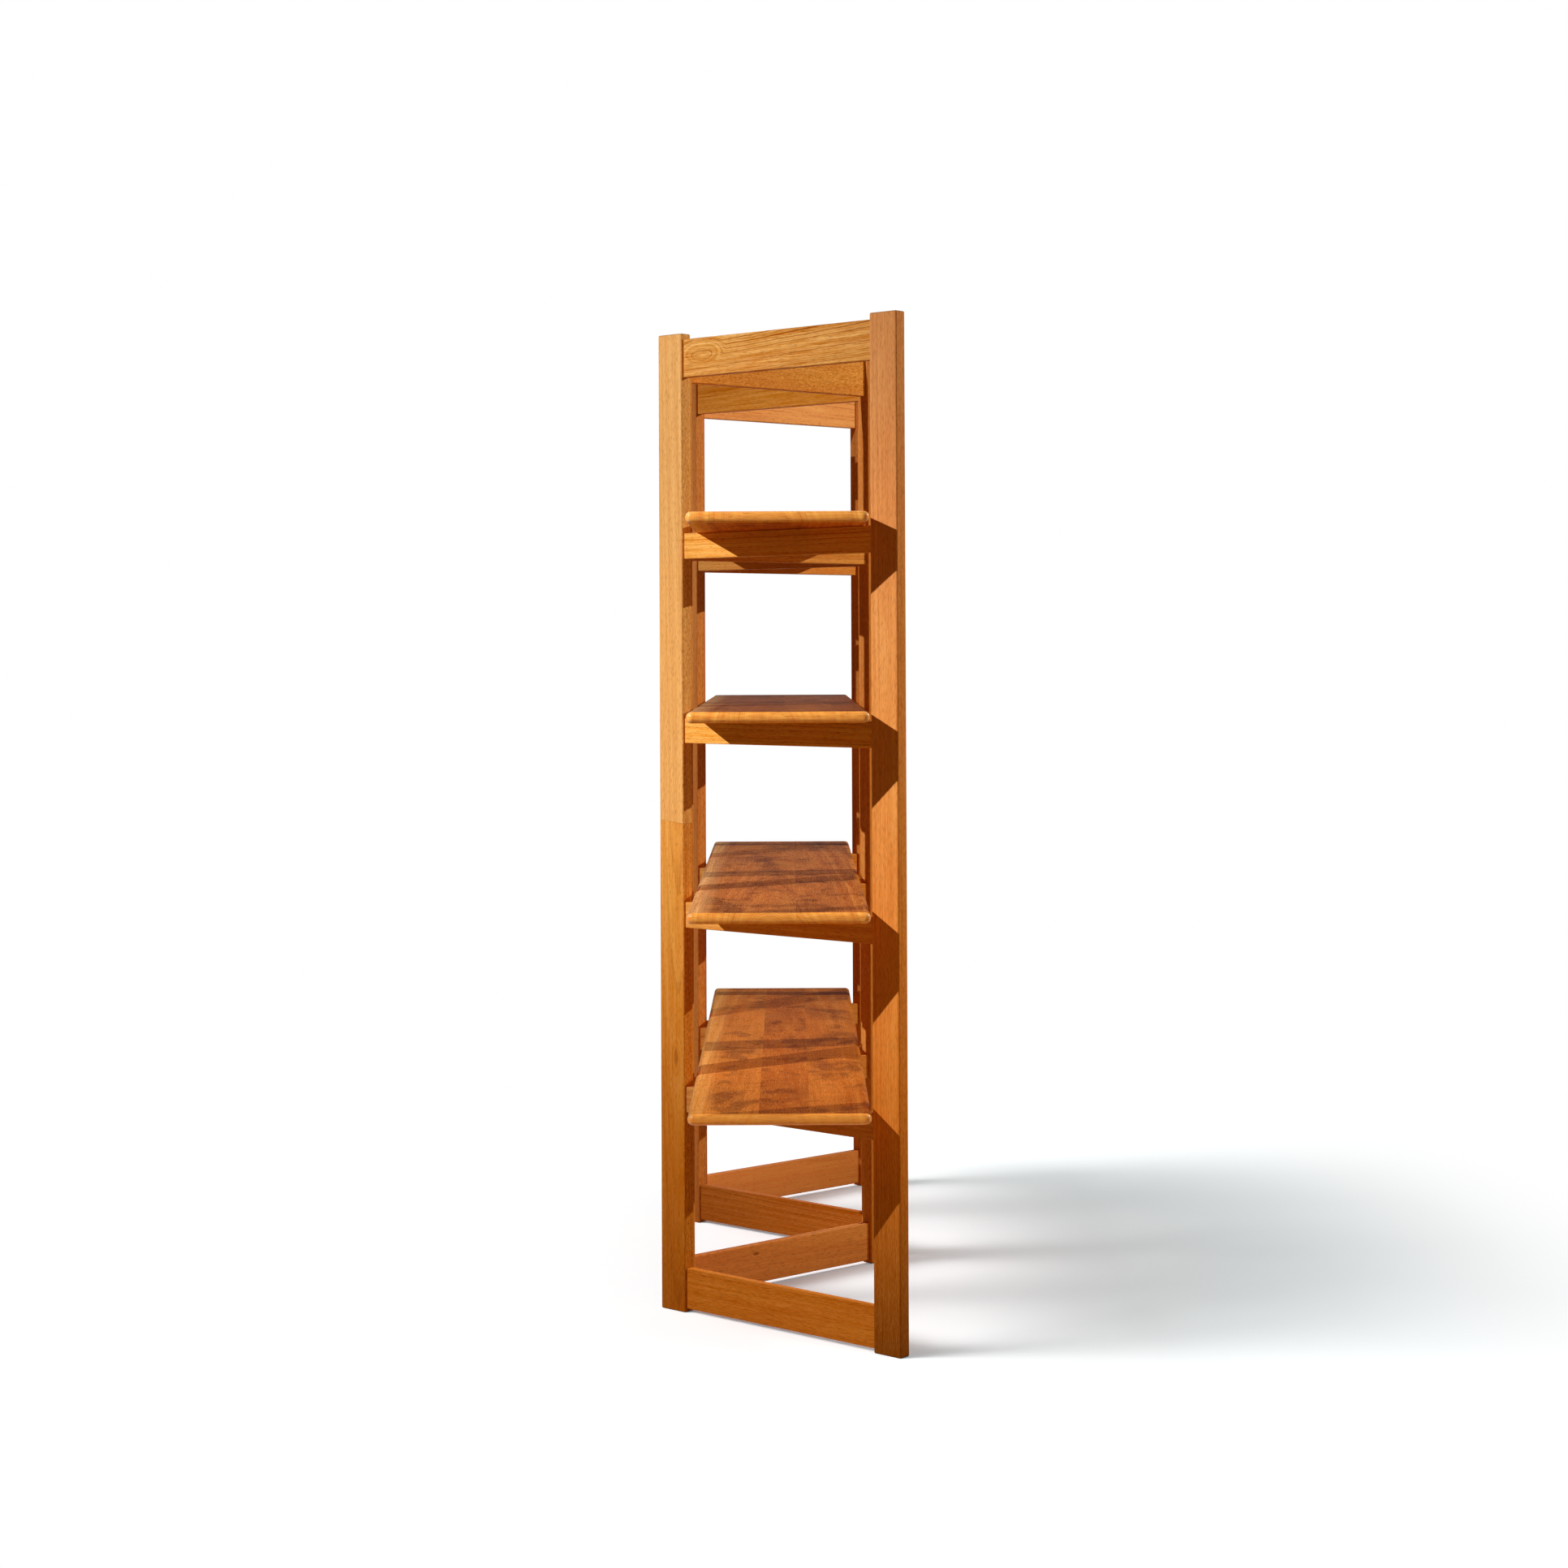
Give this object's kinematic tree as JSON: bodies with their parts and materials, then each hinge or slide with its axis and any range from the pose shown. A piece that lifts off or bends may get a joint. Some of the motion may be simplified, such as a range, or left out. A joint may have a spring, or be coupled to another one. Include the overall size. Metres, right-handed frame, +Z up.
{
  "type": "room divider bookcase",
  "caption": "Freestanding open bookcase and room divider: hinged wooden ladder frames stand in a zigzag and long shelf boards run through them, resting on the frames' rails.",
  "frame": {"origin": "on the floor, midway between the frames and midway along the shelves", "axes": "+Z up; the shelves run along Y, with the first frame at the -Y end; +X is to the right seen from that end"},
  "size_m": [0.4484, 1.7996, 1.83],
  "materials": {
    "frame_wood": "satin clear varnish on solid teak-coloured wood",
    "shelf_wood": "satin clear varnish on edge-glued staves",
    "brass": "satin"
  },
  "bodies": {
    "frame_1": {"frame1_left_post": "frame_wood", "frame1_right_post": "frame_wood", "frame1_top_rail": "frame_wood", "frame1_rail_4": "frame_wood", "frame1_rail_3": "frame_wood", "frame1_rail_2": "frame_wood", "frame1_rail_1": "frame_wood", "frame1_bottom_rail": "frame_wood", "hinge12_lower_leaf_frame1": "brass", "hinge12_lower_pin": "brass", "hinge12_upper_leaf_frame1": "brass", "hinge12_upper_pin": "brass"},
    "frame_2": {"frame2_left_post": "frame_wood", "frame2_right_post": "frame_wood", "frame2_top_rail": "frame_wood", "frame2_rail_4": "frame_wood", "frame2_rail_3": "frame_wood", "frame2_rail_2": "frame_wood", "frame2_rail_1": "frame_wood", "frame2_bottom_rail": "frame_wood", "hinge12_lower_leaf_frame2": "brass", "hinge12_upper_leaf_frame2": "brass", "hinge23_lower_leaf_frame2": "brass", "hinge23_upper_leaf_frame2": "brass"},
    "frame_3": {"frame3_left_post": "frame_wood", "frame3_right_post": "frame_wood", "frame3_top_rail": "frame_wood", "frame3_rail_4": "frame_wood", "frame3_rail_3": "frame_wood", "frame3_rail_2": "frame_wood", "frame3_rail_1": "frame_wood", "frame3_bottom_rail": "frame_wood", "hinge23_lower_leaf_frame3": "brass", "hinge23_lower_pin": "brass", "hinge23_upper_leaf_frame3": "brass", "hinge23_upper_pin": "brass", "hinge34_lower_leaf_frame3": "brass", "hinge34_lower_pin": "brass", "hinge34_upper_leaf_frame3": "brass", "hinge34_upper_pin": "brass"},
    "frame_4": {"frame4_left_post": "frame_wood", "frame4_right_post": "frame_wood", "frame4_top_rail": "frame_wood", "frame4_rail_4": "frame_wood", "frame4_rail_3": "frame_wood", "frame4_rail_2": "frame_wood", "frame4_rail_1": "frame_wood", "frame4_bottom_rail": "frame_wood", "hinge34_lower_leaf_frame4": "brass", "hinge34_upper_leaf_frame4": "brass"},
    "bottom_shelf": {"shelf_1": "shelf_wood"},
    "second_shelf": {"shelf_2": "shelf_wood"},
    "third_shelf": {"shelf_3": "shelf_wood"},
    "top_shelf": {"shelf_4": "shelf_wood"}
  },
  "joints": [
    {"name": "fold_1_2", "type": "hinge", "parent": "frame_2", "child": "frame_1", "pos_m": [-0.20777, -0.40842, 0], "axis": [0, 0, 1], "range_deg": [0, 83.6]},
    {"name": "fold_2_3", "type": "hinge", "parent": "frame_2", "child": "frame_3", "pos_m": [0.20777, 0, 0], "axis": [0, 0, 1], "range_deg": [0, 83.6]},
    {"name": "fold_3_4", "type": "hinge", "parent": "frame_3", "child": "frame_4", "pos_m": [-0.20777, 0.40842, 0], "axis": [0, 0, -1], "range_deg": [0, 83.6]},
    {"name": "shelf_line", "type": "hinge", "parent": "frame_2", "child": "bottom_shelf", "pos_m": [0, -0.20421, 0], "axis": [0, 0, 1], "range_deg": [0, 41.8]},
    {"name": "second_shelf_slide", "type": "slide", "parent": "bottom_shelf", "child": "second_shelf", "axis": [0, -1, 0], "range_m": [-0.6, 0.6]},
    {"name": "third_shelf_slide", "type": "slide", "parent": "bottom_shelf", "child": "third_shelf", "axis": [0, -1, 0], "range_m": [-0.6, 0.6]},
    {"name": "top_shelf_slide", "type": "slide", "parent": "bottom_shelf", "child": "top_shelf", "axis": [0, -1, 0], "range_m": [-0.6, 0.6]}
  ],
  "couplings": [
    {"joint": "fold_2_3", "follows": "fold_1_2", "ratio": 1},
    {"joint": "fold_3_4", "follows": "fold_1_2", "ratio": 1},
    {"joint": "shelf_line", "follows": "fold_1_2", "ratio": 0.5}
  ]
}
